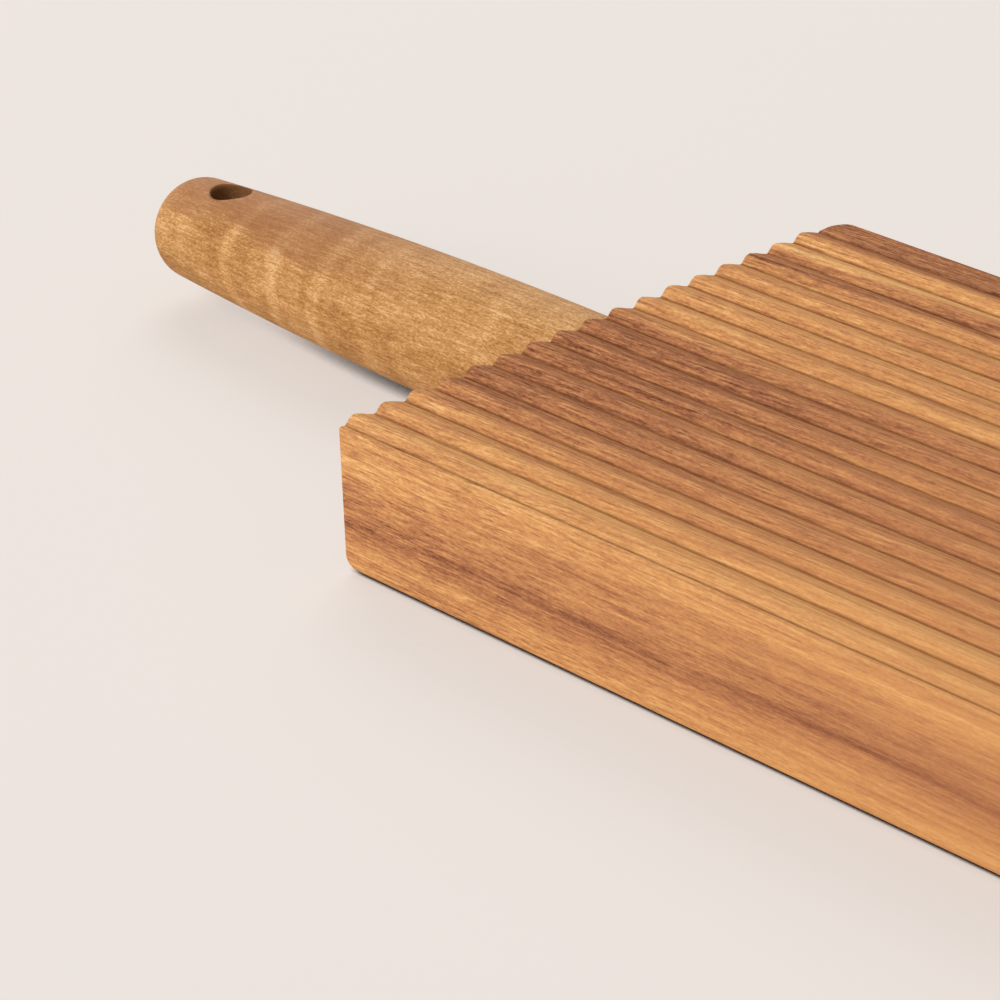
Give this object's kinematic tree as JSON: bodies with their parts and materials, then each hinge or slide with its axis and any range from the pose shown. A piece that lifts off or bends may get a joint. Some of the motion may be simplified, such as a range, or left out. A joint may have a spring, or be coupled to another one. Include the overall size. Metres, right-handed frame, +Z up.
{
  "type": "gnocchi board",
  "caption": "Wooden gnocchi board: a flat board with 17 leaning ridges along its top, and a turned handle with a hang hole, joined by a hidden dowel.",
  "frame": {"origin": "centre of the bounding box on the surface that the board rests on", "axes": "+X from the handle to the board's free end, along the ridges; +Y from the thin front lip to the flat back border; +Z up, out of the ridged face"},
  "size_m": [0.28, 0.0798, 0.018],
  "materials": {
    "board_wood": "oiled",
    "handle_wood": "oiled",
    "dowel_wood": "plain"
  },
  "bodies": {
    "root": {"ridged_board": "board_wood", "turned_handle": "handle_wood", "joint_dowel": "dowel_wood"}
  },
  "joints": []
}
